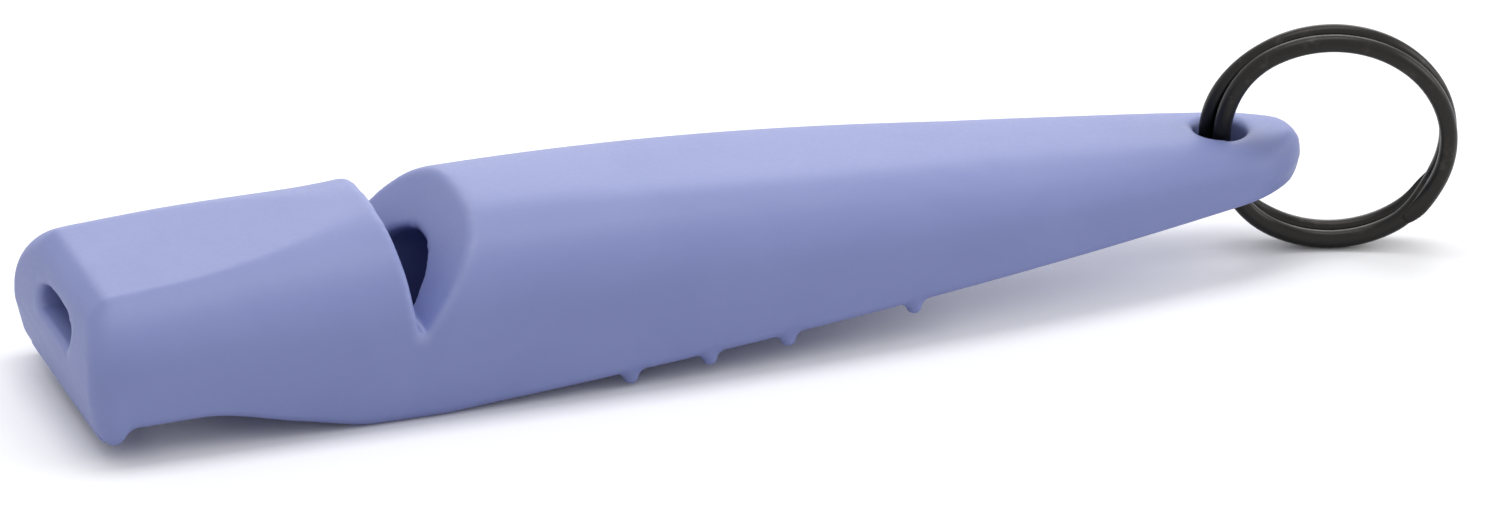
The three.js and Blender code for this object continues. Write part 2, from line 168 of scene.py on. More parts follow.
@dataclass(frozen=True)
class MouldedAbs:
    """ABS, injection moulded in a finely eroded steel tool: a satin skin with soft, broad highlights.

    Sizes and depths of its patterns are in millimetres.
    """

    name: str
    colour: str = "#818BC0"
    flow_colour: str = "#7D87BD"
    rubbed_colour: str = "#9AA2CF"
    ior: float = 1.54
    roughness: tuple[float, float] = (0.46, 0.54)
    flow_size: float = 11.0
    sink_size: float = 6.0
    sink_depth: float = 0.012
    # The tool's grain is about 0.05 mm, too fine to show, so it is drawn at 0.3 mm
    grain_size: float = 0.3
    grain_depth: float = 0.0025
    rubbed_share: float = 0.45
    # Values of the noise between which flow marks, rubbed patches and rougher grain fade in
    flow_fade: tuple[float, float] = (0.35, 0.65)
    rubbed_fade: tuple[float, float] = (0.35, 0.6)
    grain_fade: tuple[float, float] = (0.3, 0.7)

    def material(self) -> bpy.types.Material:
        """Builds the material: flow marks, paler rubbed edges, eroded grain and slight sink marks.

        Returns:
            The material.
        """
        material, tree = new_material(self.name)
        place = add_node(tree, "ShaderNodeTexCoord").outputs["Object"]
        noises = (
            {"Scale": per_metre(self.flow_size), "Detail": 4.0, "Roughness": 0.6, "Distortion": 0.8},
            {"Scale": per_metre(self.grain_size), "Detail": 2.0},
            {"Scale": per_metre(self.sink_size), "Detail": 1.0},
        )
        flow, grain, sink = (
            add_node(tree, "ShaderNodeTexNoise", noise, {"Vector": place}).outputs["Fac"]
            for noise in noises
        )
        low, high = self.flow_fade
        flow_share = add_node(
            tree, "ShaderNodeMapRange", {"From Min": low, "From Max": high}, {"Value": flow},
        ).outputs["Result"]
        tone = add_node(
            tree, "ShaderNodeMix",
            {"data_type": "RGBA", MIX_FIRST: linear(self.colour), MIX_SECOND: linear(self.flow_colour)},
            {MIX_SHARE: flow_share},
        ).outputs[MIX_RESULT]
        edge = add_node(tree, "ShaderNodeAttribute", {"attribute_name": RUBBED}).outputs["Fac"]
        low, high = self.rubbed_fade
        patches = add_node(
            tree, "ShaderNodeMapRange",
            {"From Min": low, "From Max": high, "To Max": self.rubbed_share},
            {"Value": flow},
        ).outputs["Result"]
        rubbed = add_node(
            tree, "ShaderNodeMath", {"operation": "MULTIPLY"}, {0: edge, 1: patches},
        ).outputs[0]
        colour = add_node(
            tree, "ShaderNodeMix",
            {"data_type": "RGBA", MIX_SECOND: linear(self.rubbed_colour)},
            {MIX_SHARE: rubbed, MIX_FIRST: tone},
        ).outputs[MIX_RESULT]
        low, high = self.grain_fade
        smooth, rough = self.roughness
        roughness = add_node(
            tree, "ShaderNodeMapRange",
            {"From Min": low, "From Max": high, "To Min": smooth, "To Max": rough},
            {"Value": grain},
        ).outputs["Result"]
        waves = add_node(
            tree, "ShaderNodeBump", {"Strength": 1.0, "Distance": self.sink_depth * MM}, {"Height": sink},
        ).outputs["Normal"]
        normal = add_node(
            tree, "ShaderNodeBump",
            {"Strength": 1.0, "Distance": self.grain_depth * MM},
            {"Height": grain, "Normal": waves},
        ).outputs["Normal"]
        shader = add_node(
            tree, "ShaderNodeBsdfPrincipled",
            {"IOR": self.ior},
            {"Base Color": colour, "Roughness": roughness, "Normal": normal},
        ).outputs["BSDF"]
        add_node(tree, "ShaderNodeOutputMaterial", None, {"Surface": shader})
        return material


@dataclass(frozen=True)
class BlackOxideSteel:
    """Spring steel wire, drawn and then blackened by oxide: near black, with a soft grey shine.

    Sizes and depths of its patterns are in millimetres.
    """

    name: str = "black_oxide_spring_steel"
    colour: str = "#302F2E"
    rubbed_colour: str = "#5A564F"
    roughness: tuple[float, float] = (0.3, 0.42)
    rub_size: float = 1.6
    # Marks from drawing are some hundredths of a millimetre, too fine to show, so they are 0.25 mm here
    mark_size: float = 0.25
    mark_depth: float = 0.004
    rubbed_share: float = 0.5
    # Values of the noise between which rubbed patches and rougher places fade in
    rubbed_fade: tuple[float, float] = (0.56, 0.8)
    rough_fade: tuple[float, float] = (0.3, 0.7)

    def material(self) -> bpy.types.Material:
        """Builds the material: black oxide with rubbed patches and fine marks from drawing.

        Returns:
            The material.
        """
        material, tree = new_material(self.name)
        place = add_node(tree, "ShaderNodeTexCoord").outputs["Object"]
        noises = (
            {"Scale": per_metre(self.rub_size), "Detail": 5.0, "Roughness": 0.65},
            {"Scale": per_metre(self.mark_size), "Detail": 3.0},
        )
        rub, marks = (
            add_node(tree, "ShaderNodeTexNoise", noise, {"Vector": place}).outputs["Fac"]
            for noise in noises
        )
        low, high = self.rubbed_fade
        rubbed = add_node(
            tree, "ShaderNodeMapRange",
            {"From Min": low, "From Max": high, "To Max": self.rubbed_share},
            {"Value": rub},
        ).outputs["Result"]
        colour = add_node(
            tree, "ShaderNodeMix",
            {"data_type": "RGBA", MIX_FIRST: linear(self.colour), MIX_SECOND: linear(self.rubbed_colour)},
            {MIX_SHARE: rubbed},
        ).outputs[MIX_RESULT]
        low, high = self.rough_fade
        smooth, rough = self.roughness
        roughness = add_node(
            tree, "ShaderNodeMapRange",
            {"From Min": low, "From Max": high, "To Min": smooth, "To Max": rough},
            {"Value": rub},
        ).outputs["Result"]
        normal = add_node(
            tree, "ShaderNodeBump",
            {"Strength": 1.0, "Distance": self.mark_depth * MM},
            {"Height": marks},
        ).outputs["Normal"]
        shader = add_node(
            tree, "ShaderNodeBsdfPrincipled",
            {"Metallic": 1.0},
            {"Base Color": colour, "Roughness": roughness, "Normal": normal},
        ).outputs["BSDF"]
        add_node(tree, "ShaderNodeOutputMaterial", None, {"Surface": shader})
        return material


def round_over(radius: float, into: float) -> float:
    """How far a rounded edge lies inside the full outline, at a distance in from the end face."""
    short = max(0.0, radius - into)
    return radius - math.sqrt(radius**2 - short**2)


def eased_line(points: Outline) -> Callable[[float], float]:
    """Smooth height curve through points that never overshoots them.

    Args:
        points: Places along the body and heights there, in rising order.

    Returns:
        Function that gives the height at a place.
    """
    secants = [(z1 - z0) / (x1 - x0) for (x0, z0), (x1, z1) in zip(points, points[1:])]
    slopes = []
    for before, after in zip([secants[0], *secants], [*secants, secants[-1]]):
        slopes.append(2.0 * before * after / (before + after) if before * after > 0.0 else 0.0)

    def height(x: float) -> float:
        """Height of the curve.

        Args:
            x: Place along the body.

        Returns:
            Height there.
        """
        index = max((i for i, (start, _) in enumerate(points[:-1]) if start <= x), default=0)
        (x0, z0), (x1, z1) = points[index], points[index + 1]
        span = x1 - x0
        share = min(max((x - x0) / span, 0.0), 1.0)
        bend = slopes[index] * (1.0 - share) - slopes[index + 1] * share
        return lerp(z0, z1, smoothstep(0.0, 1.0, share)) + span * share * (1.0 - share) * bend

    return height


@dataclass(frozen=True)
class WhistleForm:
    """Sizes of the moulding and the curves that they give, in millimetres from the mouth face."""

    body_length: float = 82.0
    notch_front: float = 20.0
    shoulder: float = 25.8
    eye_position: float = 76.7
    tail_rounding: float = 4.8
    mouth_width: float = 18.7
    shoulder_width: float = 17.7
    tail_width: float = 8.9
    width_taper_power: float = 2.2
    mouth_crest: float = 9.9
    notch_crest: float = 11.85
    shoulder_crest: float = 11.9
    tail_crest: float = 8.85
    mouth_rise_power: float = 1.25
    crest_taper_power: float = 1.5
    belly_start: float = 18.0
    belly_end: float = 22.5
    # Places and heights along the underside of the bite lip and the recess behind it
    bite_points: Outline = ((0.0, 0.95), (0.9, 0.95), (2.1, 2.1), (6.4, 2.2), (13.0, 0.9))
    tail_underside: float = 5.0
    # Share of the height at which the arch springs from the sides, and how square its shoulders are
    side_spring_share: float = 0.4
    arch_power: float = 2.4
    underside_draft: float = 0.35
    underside_fillet: float = 0.8
    mouth_rim_fillet: float = 1.3
    lip_edge_fillet: float = 0.35
    mouth_bulge: float = 1.05
    mouth_bulge_length: float = 4.0
    mouth_bulge_middle: float = 5.2
    mouth_bulge_reach: float = 4.4
    tail_edge_fillet: float = 1.3
    mouth_flat_width: float = 11.0
    mouth_flat_length: float = 20.0
    mouth_flat_power: float = 3.0
    # How softly the flats on top meet the arch
    mouth_crease: float = 0.06
    tail_crease: float = 0.3
    oval_flat_width: float = 7.0
    oval_flat_end: float = 60.0
    tail_flat_width: float = 3.2
    tail_flat_start: float = 62.4
    tail_flat_full: float = 74.4
    least_flat_width: float = 0.5
    widest_flat_share: float = 0.7
    notch_floor: float = 5.8
    notch_wall_foot: float = 20.6
    ramp_foot: float = 20.8
    voicing_edge: float = 0.3
    windway_width: float = 6.9
    windway_height: float = 1.9
    windway_crown: float = 0.5
    windway_mouth_floor: float = 5.8
    windway_rise: float = 1.1
    front_wall: float = 1.2
    chamber_width: float = 9.6
    chamber_spring: float = 5.9
    chamber_crown: float = 2.7
    chamber_end: float = 35.0
    cover_width: float = 11.4
    cover_thickness: float = 1.2
    cover_end: float = 38.0
    lip_bar_width: float = 15.9
    lip_bar_end: float = 2.0
    lip_bar_top: float = 1.55
    slot_rim: float = 0.3
    slot_rim_steps: int = 5
    joint_gap: float = 0.05
    eye_diameter: float = 3.45
    eye_flare: float = 0.2
    eye_flare_below: float = 0.45
    pip_places: tuple[float, ...] = (34.8, 40.1, 45.4, 54.0)
    pip_diameter: float = 1.2
    pip_drop: float = 0.85
    pip_inset: float = 1.15
    cut_margin: float = 4.0
    fillet_steps: int = 8
    arch_steps: int = 44
    station_step: float = 0.4
    round_steps: int = 10
    # How far the steps of a rounded end go round, just short of a quarter turn
    round_turn: float = 0.95 * math.pi / 2.0

    @cached_property
    def under_front(self) -> Callable[[float], float]:
        """Height of the underside from the bite lip to the end of the belly."""
        return eased_line([*self.bite_points, (self.belly_start, 0.0), (self.belly_end, 0.0)])

    @cached_property
    def ramp_slope(self) -> float:
        """How far the voicing ramp goes back for each millimetre that it rises."""
        return (self.shoulder - self.ramp_foot) / (self.shoulder_crest - self.notch_floor)

    def underside(self, x: float) -> float:
        """Height of the underside.

        Args:
            x: Place along the body.

        Returns:
            Height above the table.
        """
        if x <= self.belly_end:
            return self.under_front(x)
        return self.tail_underside * (x - self.belly_end) / (self.body_length - self.belly_end)

    def tail_share(self, x: float) -> float:
        """Share of the way from the shoulder to the eye."""
        return max(0.0, (x - self.shoulder) / (self.eye_position - self.shoulder))

    def half_width(self, x: float) -> float:
        """Half the body's width.

        Args:
            x: Place along the body.

        Returns:
            Distance from the middle plane to a side.
        """
        if x <= self.shoulder:
            return lerp(self.mouth_width, self.shoulder_width, x / self.shoulder) / 2.0
        taper = (self.shoulder_width - self.tail_width) * self.tail_share(x) ** self.width_taper_power
        return (self.shoulder_width - taper) / 2.0

    def crest(self, x: float) -> float:
        """Height of the top.

        Args:
            x: Place along the body.

        Returns:
            Height above the table.
        """
        if x <= self.notch_front:
            share = (x / self.notch_front) ** self.mouth_rise_power
            return lerp(self.mouth_crest, self.notch_crest, share)
        fall = (self.shoulder_crest - self.tail_crest) * self.tail_share(x) ** self.crest_taper_power
        return self.shoulder_crest - fall

    def half_flat(self, x: float) -> float:
        """Half the width of the flat on top: the bite flat, the long oval flat or the tail's flat.

        Args:
            x: Place along the body.

        Returns:
            Distance from the middle plane to the flat's edge.
        """
        width = self.tail_flat_width * smoothstep(self.tail_flat_start, self.tail_flat_full, x)
        if x < self.mouth_flat_length:
            width = self.mouth_flat_width * (1.0 - (x / self.mouth_flat_length) ** self.mouth_flat_power)
        along = 2.0 * (x - self.shoulder) / (self.oval_flat_end - self.shoulder) - 1.0
        if abs(along) < 1.0:
            width = self.oval_flat_width * math.sqrt(1.0 - along * along)
        return max(width, self.least_flat_width) / 2.0

    def windway_floor(self, x: float) -> float:
        """Height of the windway's floor at a place along the body."""
        return self.windway_mouth_floor + self.windway_rise * x / self.notch_front

    def section(self, x: float) -> list[Vector]:
        """Outline across the body: flat underside, filleted edges, bowed sides and arched top.

        Args:
            x: Place along the body.

        Returns:
            Points of the outline, up the right side and down the left.
        """
        inset = round_over(self.mouth_rim_fillet, x)
        into_tail = min(max((x - self.body_length) / self.tail_rounding + 1.0, 0.0), 1.0)
        plan = math.sqrt(1.0 - into_tail**2)
        tail_inset = round_over(self.tail_edge_fillet, self.body_length - x)
        top = self.crest(x) - inset - tail_inset
        bottom = self.underside(x) + round_over(self.lip_edge_fillet, x) + tail_inset
        half = self.half_width(x) * plan - inset
        flat = min(self.half_flat(x) * plan, half * self.widest_flat_share)
        # A narrow section has room for less fillet and less draft
        fillet = min(self.underside_fillet, half / 2.0)
        draft = min(self.underside_draft, half / 4.0)
        spring = lerp(bottom, top, self.side_spring_share)
        power = self.arch_power
        arch_height = (top - spring) / (1.0 - (flat / half) ** power) ** (1.0 / power)
        crease = self.mouth_crease if x < self.notch_front else self.tail_crease
        fillet_centre = half - draft - fillet
        right = []
        for step in range(self.fillet_steps + 1):
            angle = (step / self.fillet_steps - 1.0) * math.pi / 2.0
            across = fillet_centre + fillet * math.cos(angle)
            right.append((across, bottom + fillet + fillet * math.sin(angle)))
        for step in range(self.arch_steps):
            angle = math.pi / 2.0 * step / self.arch_steps
            across = half * math.cos(angle) ** (2.0 / power)
            arch = spring + arch_height * math.sin(angle) ** (2.0 / power)
            # The lower of the arch and the flat, with a soft crease where they meet
            right.append((across, (arch + top - math.hypot(arch - top, crease)) / 2.0))
        left = [(-y, z) for y, z in reversed(right)]
        return [Vector((x - self.bulge(x, z), y, z)) for y, z in (*right, *left)]

    def bulge(self, x: float, z: float) -> float:
        """How far the mouth end stands forward of a flat face.

        Args:
            x: Place along the body.
            z: Height above the table.

        Returns:
            Distance forward, which fades along the body.
        """
        off_middle = (z - self.mouth_bulge_middle) / self.mouth_bulge_reach
        fade = 1.0 - smoothstep(0.0, self.mouth_bulge_length, x)
        return self.mouth_bulge * max(0.0, 1.0 - off_middle**2) * fade

    def stations(self) -> list[float]:
        """Places of the sections: round steps at both ends and even steps between them.

        Returns:
            Places along the body, from the mouth to the tail.
        """
        tail_start = self.body_length - self.tail_rounding
        turns = [self.round_turn * step / self.round_steps for step in range(1, self.round_steps + 1)]
        rim = [self.mouth_rim_fillet * (1.0 - math.cos(turn)) for turn in turns]
        tail = [tail_start + self.tail_rounding * math.sin(turn) for turn in turns]
        count = math.ceil((tail_start - self.mouth_rim_fillet) / self.station_step)
        even = [lerp(self.mouth_rim_fillet, tail_start, step / count) for step in range(count + 1)]
        return [0.0, *rim, *even, *tail]


def mesh_object(bm: BMesh, name: str) -> bpy.types.Object:
    """Turns a bmesh into an object of the scene.

    Args:
        bm: Mesh, which is used up.
        name: Name of the object and of its mesh.

    Returns:
        The object.
    """
    mesh = bpy.data.meshes.new(name)
    bm.to_mesh(mesh)
    bm.free()
    item = bpy.data.objects.new(name, mesh)
    bpy.context.scene.collection.objects.link(item)
    return item


def verts_of(geometry: Sequence[object]) -> list[BMVert]:
    """Vertices among the geometry that an operator returned."""
    return [item for item in geometry if isinstance(item, BMVert)]


def verts_on(edges: Sequence[BMEdge]) -> list[BMVert]:
    """Vertices at the ends of edges, each once."""
    return list({vert for edge in edges for vert in edge.verts})


def loft(rings: Sequence[Sequence[Vector]]) -> BMesh:
    """Extrudes a first outline through all the others.

    Args:
        rings: Outlines with the same number of points each.

    Returns:
        Closed mesh through the outlines.
    """
    bm = bmesh.new()
    faces = [bm.faces.new([bm.verts.new(point) for point in rings[0]])]
    for ring in rings[1:]:
        made = bmesh.ops.extrude_face_region(bm, geom=[faces[-1]])["geom"]
        faces.append(next(item for item in made if isinstance(item, BMFace)))
        for vert, point in zip(faces[-1].verts, ring):
            vert.co = point
    bmesh.ops.delete(bm, geom=faces[1:-1], context="FACES_ONLY")
    # Strips across each end leave no face there with more than four corners
    for end in (faces[0], faces[-1]):
        corners = list(end.verts)
        for pair in zip(corners[1:], reversed(corners[:-1])):
            if corners.index(pair[0]) < len(corners) / 2 - 1:
                bmesh.ops.connect_verts(bm, verts=pair)
    bmesh.ops.recalc_face_normals(bm, faces=bm.faces)
    return bm


def prism(points: Sequence[Vector], run: Vector) -> BMesh:
    """Extrudes an outline in a straight run.

    Args:
        points: Corners of the outline.
        run: Direction and length of the run.

    Returns:
        Closed mesh of the prism.
    """
    bm = bmesh.new()
    face = bm.faces.new([bm.verts.new(point) for point in points])
    made = bmesh.ops.extrude_face_region(bm, geom=[face])["geom"]
    bmesh.ops.translate(bm, vec=run, verts=verts_of(made))
    bmesh.ops.recalc_face_normals(bm, faces=bm.faces)
    return bm


def side_prism(outline: Outline, width: float) -> BMesh:
    """Prism across the body with a side outline of places and heights."""
    return prism([Vector((x, -width / 2.0, z)) for x, z in outline], Vector((0.0, width, 0.0)))


def arch_prism(
    start: float, end: float, width: float, heights: tuple[float, float, float], steps: int,
) -> BMesh:
    """Prism along the body with upright sides and an arched roof.

    Args:
        start: Place where it starts.
        end: Place where it ends.
        width: Distance between its sides.
        heights: Heights of its floor, of the roof's springing and of the roof's middle.
        steps: Straight steps in the roof.

    Returns:
        Closed mesh of the prism.
    """
    floor, spring, top = heights
    rise = top - spring
    radius = (width * width / 4.0 + rise * rise) / (2.0 * rise)
    reach = math.asin(width / 2.0 / radius)
    angles = [lerp(reach, -reach, step / steps) for step in range(steps + 1)]
    roof = [(radius * math.sin(angle), top - radius + radius * math.cos(angle)) for angle in angles]
    outline = [(-width / 2.0, floor), (width / 2.0, floor), *roof]
    return prism([Vector((start, y, z)) for y, z in outline], Vector((end - start, 0.0, 0.0)))


def turned(outline: Outline, place: Vector, steps: int) -> BMesh:
    """Spins a side outline round an upright axis.

    Args:
        outline: Radii and heights, from one end on the axis to the other.
        place: Where the axis stands.
        steps: Straight steps round the axis.

    Returns:
        Closed mesh of the turned shape.
    """
    bm = bmesh.new()
    verts = [bm.verts.new((radius, 0.0, height)) for radius, height in outline]
    edges = [bm.edges.new(pair) for pair in zip(verts, verts[1:])]
    bmesh.ops.spin(
        bm, geom=[*verts, *edges], cent=(0.0, 0.0, 0.0), axis=(0.0, 0.0, 1.0), angle=2.0 * math.pi,
        steps=steps, use_merge=True,
    )
    bmesh.ops.remove_doubles(bm, verts=bm.verts, dist=AXIS_MERGE)
    bmesh.ops.recalc_face_normals(bm, faces=bm.faces)
    bmesh.ops.translate(bm, vec=place, verts=bm.verts)
    return bm


@dataclass(frozen=True)
class Softening:
    """How a cut blank gets its soft corners, in millimetres."""

    voxel: float = 0.235
    passes: int = 9
    pass_strength: float = 0.5
    # Distances from a corner within which the rounding is full, and beyond which there is none
    reach: tuple[float, float] = (0.3, 0.75)
    corner_angle: float = math.radians(26.0)
    # Points closer than this are merged before the corners are looked for
    merge_distance: float = 0.002
    point_spacing: float = 0.12

    def points_on(self, edges: Sequence[BMEdge]) -> KDTree:
        """Sets points along edges.

        Args:
            edges: Edges of a cut mesh.

        Returns:
            Search tree of the points.
        """
        points = []
        for edge in edges:
            start, end = (vert.co for vert in edge.verts)
            count = max(1, math.ceil(edge.calc_length() / self.point_spacing))
            points.extend(start.lerp(end, step / count) for step in range(count + 1))
        tree = KDTree(len(points))
        for index, point in enumerate(points):
            tree.insert(point, index)
        tree.balance()
        return tree


class Blank:
    """Closed solid in millimetres that is still being cut."""

    def __init__(self, bm: BMesh) -> None:
        """Takes over a bmesh as the solid's first shape."""
        self.item = mesh_object(bm, "blank")

    def settle(self) -> None:
        """Applies the modifiers to the mesh."""
        graph = bpy.context.evaluated_depsgraph_get()
        settled = bpy.data.meshes.new_from_object(self.item.evaluated_get(graph))
        rough = self.item.data
        self.item.modifiers.clear()
        self.item.data = settled
        bpy.data.meshes.remove(rough)

    def combine(self, tool: BMesh, cut: Cut) -> None:
        """Cuts the solid with a tool, or joins the tool to it.

        Args:
            tool: Closed mesh, which is used up.
            cut: What the tool does.
        """
        other = Blank(tool)
        modifier = self.item.modifiers.new("combine", "BOOLEAN")
        modifier.operation = cut.value
        modifier.solver = "MANIFOLD"
        modifier.object = other.item
        self.settle()
        other.remove()

    def remove(self) -> None:
        """Removes the solid from the scene."""
        mesh = self.item.data
        bpy.data.objects.remove(self.item)
        bpy.data.meshes.remove(mesh)

    def remesh(self, voxel: float) -> None:
        """Replaces the mesh with one of even squares.

        Args:
            voxel: Size of the squares.
        """
        modifier = self.item.modifiers.new("even", "REMESH")
        modifier.mode = "VOXEL"
        modifier.voxel_size = voxel
        self.settle()

    def softened(self, softening: Softening) -> BMesh:
        """Rounds the corners a little, as a mould does, and leaves all other surfaces as they were cut.

        Args:
            softening: How fine the mesh is and how far the rounding reaches.

        Returns:
            Even mesh with soft corners. The blank is used up.
        """
        cut = bmesh.new()
        cut.from_mesh(self.item.data)
        bmesh.ops.remove_doubles(cut, verts=cut.verts, dist=softening.merge_distance)
        surface = BVHTree.FromBMesh(cut)
        # An edge that the cut left without two faces has no angle of its own, and counts as a corner
        sharp = [edge for edge in cut.edges if edge.calc_face_angle(math.pi) > softening.corner_angle]
        corners = softening.points_on(sharp)
        proud = softening.points_on([edge for edge in sharp if edge.is_convex])
        cut.free()
        self.remesh(softening.voxel)
        bm = bmesh.new()
        bm.from_mesh(self.item.data)
        self.remove()
        for _ in range(softening.passes):
            bmesh.ops.smooth_vert(
                bm, verts=bm.verts, factor=softening.pass_strength,
                use_axis_x=True, use_axis_y=True, use_axis_z=True,
            )
        rubbed = bm.verts.layers.float.new(RUBBED)
        near, far = softening.reach
        for vert in bm.verts:
            share = smoothstep(near, far, corners.find(vert.co)[2])
            vert[rubbed] = 1.0 - smoothstep(0.0, far, proud.find(vert.co)[2])
            if share > 0.0:
                vert.co = vert.co.lerp(surface.find_nearest(vert.co)[0], share)
        return bm


def place_piece(
    bm: BMesh, node: str, body: Body, material: bpy.types.Material,
) -> bpy.types.Object:
    """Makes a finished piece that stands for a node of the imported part.

    Args:
        bm: Mesh in the frame, in metres, which is used up.
        node: Node that it replaces, which also gives its name.
        body: Body that it rides on.
        material: Finish of the piece.

    Returns:
        The piece.
    """
    for face in bm.faces:
        face.smooth = True
    piece = mesh_object(bm, f"{node}_skin")
    piece.data.materials.append(material)
    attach(piece, body.value)
    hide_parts(node)
    triangles = sum(len(polygon.vertices) - 2 for polygon in piece.data.polygons)
    log.info("%s rides on %s, %d triangles", piece.name, body.value, triangles)
    return piece


@dataclass
class Moulding:
    """Moulded piece of the whistle."""

    form: WhistleForm
    node: str
    finish: MouldedAbs
    softening: Softening = field(default_factory=Softening)

    def blank(self) -> Blank:
        """Cuts the piece's solid."""
        raise NotImplementedError

    def outer(self) -> Blank:
        """Solid inside the whistle's outer skin."""
        return Blank(loft([self.form.section(x) for x in self.form.stations()]))

    def cover_tools(self, gap: float) -> list[BMesh]:
        """Solids of the base cover's place: its wide lip bar and the strip behind it.

        Args:
            gap: How much they are grown by.

        Returns:
            The bar and the strip.
        """
        form = self.form
        margin = form.cut_margin
        bar = [
            (-margin, -margin),
            (form.lip_bar_end + gap, -margin),
            (form.lip_bar_end + gap, form.lip_bar_top + gap),
            (-margin, form.lip_bar_top + gap),
        ]
        start = form.front_wall - gap
        end = form.cover_end + gap
        count = math.ceil((end - start) / form.station_step)
        places = [lerp(end, start, step / count) for step in range(count + 1)]
        raised = [(x, form.underside(x) + form.cover_thickness + gap) for x in places]
        strip = [(start, -margin), (end, -margin), *raised]
        return [
            side_prism(bar, form.lip_bar_width + 2.0 * gap),
            side_prism(strip, form.cover_width + 2.0 * gap),
        ]

    def build(self) -> bpy.types.Object:
        """Makes the piece, puts it into the frame and dresses it.

        Returns:
            The piece.
        """
        bm = self.blank().softened(self.softening)
        form = self.form
        # The frame's origin is under the middle of the belly
        to_origin = Matrix.Translation((-(form.belly_start + form.belly_end) / 2.0, 0.0, 0.0))
        bmesh.ops.transform(bm, matrix=Matrix.Scale(MM, 4) @ to_origin, verts=bm.verts)
        return place_piece(bm, self.node, Body.WHISTLE, self.finish.material())


class WhistleBody(Moulding):
    """Body with the mouthpiece, the notch, the tone chamber, the tail's eye and the pips below."""

    def notch_tool(self) -> BMesh:
        """Notch across the body: a near-upright front wall, a narrow floor and the voicing ramp.

        Returns:
            Mesh of what is cut away.
        """
        form = self.form
        sky = form.notch_crest + form.cut_margin
        outline = [
            (form.notch_wall_foot, form.notch_floor),
            (form.ramp_foot, form.notch_floor),
            (form.ramp_foot + form.ramp_slope * (sky - form.notch_floor), sky),
            (form.notch_front, sky),
            (form.notch_front, form.notch_crest),
        ]
        return side_prism(outline, form.mouth_width + 2.0 * form.cut_margin)

    def chamber_tool(self) -> BMesh:
        """Tone chamber, open below.

        Returns:
            Mesh of what is cut away.
        """
        form = self.form
        heights = (-form.cut_margin, form.chamber_spring, form.chamber_spring + form.chamber_crown)
        start, end = form.notch_front, form.chamber_end
        return arch_prism(start, end, form.chamber_width, heights, form.arch_steps)

    def window_tool(self) -> BMesh:
        """Window behind the notch wall, cut upright so that the voicing edge is blunt.

        Returns:
            Mesh of what is cut away.
        """
        form = self.form
        half = form.chamber_width / 2.0
        top = form.chamber_spring + form.chamber_crown
        radius = (half**2 + form.chamber_crown**2) / (2.0 * form.chamber_crown)
        across = [lerp(-half, half, step / form.arch_steps) for step in range(form.arch_steps + 1)]
        outline = [(form.notch_front, half), (form.notch_front, -half)]
        for y in across:
            roof = top - radius + math.sqrt(radius**2 - y**2)
            ramp = form.ramp_foot + form.ramp_slope * (roof - form.notch_floor)
            outline.append((ramp + form.voicing_edge, y))
        low = form.chamber_spring
        return prism([Vector((x, y, low)) for x, y in outline], Vector((0.0, 0.0, form.cut_margin)))

    def pocket_tool(self) -> BMesh:
        """Pocket of the fipple block, open below.

        Returns:
            Mesh of what is cut away.
        """
        form = self.form
        ends = (form.front_wall, form.notch_wall_foot)
        roof = [(x, form.windway_floor(x) + form.joint_gap) for x in reversed(ends)]
        outline = [(ends[0], -form.cut_margin), (ends[1], -form.cut_margin), *roof]
        return side_prism(outline, form.chamber_width)

    def windway_tool(self) -> BMesh:
        """Arched slot from the mouth that rises to the notch, with a rounded rim in the mouth face.

        Returns:
            Mesh of what is cut away.
        """
        form = self.form
        floor = form.windway_mouth_floor
        top = floor + form.windway_height
        heights = (floor, top - form.windway_crown, top)
        start, end = -form.cut_margin, form.notch_wall_foot
        bm = arch_prism(start, end, form.windway_width, heights, form.arch_steps)
        rim = form.slot_rim
        for step in range(form.slot_rim_steps + 1):
            place = Vector((rim * step / form.slot_rim_steps, 0.0, 0.0))
            every = [*bm.verts, *bm.edges, *bm.faces]
            bmesh.ops.bisect_plane(bm, geom=every, plane_co=place, plane_no=(1.0, 0.0, 0.0))
        for vert in bm.verts:
            x, y, z = vert.co
            wider = round_over(rim, max(x, 0.0))
            vert.co.y += wider * y / (form.windway_width / 2.0)
            vert.co.z += wider * (z - (floor + top) / 2.0) / (form.windway_height / 2.0)
            vert.co.z += form.windway_floor(x) - floor
            # The rim follows the bulge of the mouth face
            if x < 2.0 * rim:
                vert.co.x -= form.bulge(x, vert.co.z)
        return bm

    def eye_tool(self) -> BMesh:
        """Eye through the tail, flared at both faces.

        Returns:
            Mesh of what is cut away.
        """
        form = self.form
        low = form.underside(form.eye_position)
        high = form.crest(form.eye_position)
        radius = form.eye_diameter / 2.0
        margin = form.cut_margin
        outline = [
            (0.0, low - margin),
            (radius + form.eye_flare_below + margin, low - margin),
            (radius, low + form.eye_flare_below),
            (radius, high - form.eye_flare),
            (radius + form.eye_flare + margin, high + margin),
            (0.0, high + margin),
        ]
        return turned(outline, Vector((form.eye_position, 0.0, 0.0)), 2 * form.arch_steps)

    def pip_tool(self, x: float, side: int) -> BMesh:
        """Round-ended pip that stands down from the underside.

        Args:
            x: Place along the body.
            side: Which side of the body, -1 or 1.

        Returns:
            Mesh of the pip, with its root inside the body.
        """
        form = self.form
        radius = form.pip_diameter / 2.0
        root = form.underside_fillet
        centre = radius - form.pip_drop
        angles = [math.pi / 2.0 * step / form.fillet_steps for step in range(form.fillet_steps + 1)]
        end = [(radius * math.cos(angle), centre - radius * math.sin(angle)) for angle in angles]
        outline = [(0.0, root), (radius, root), *end]
        place = Vector((x, side * (form.half_width(x) - form.pip_inset), form.underside(x)))
        return turned(outline, place, 4 * form.fillet_steps)

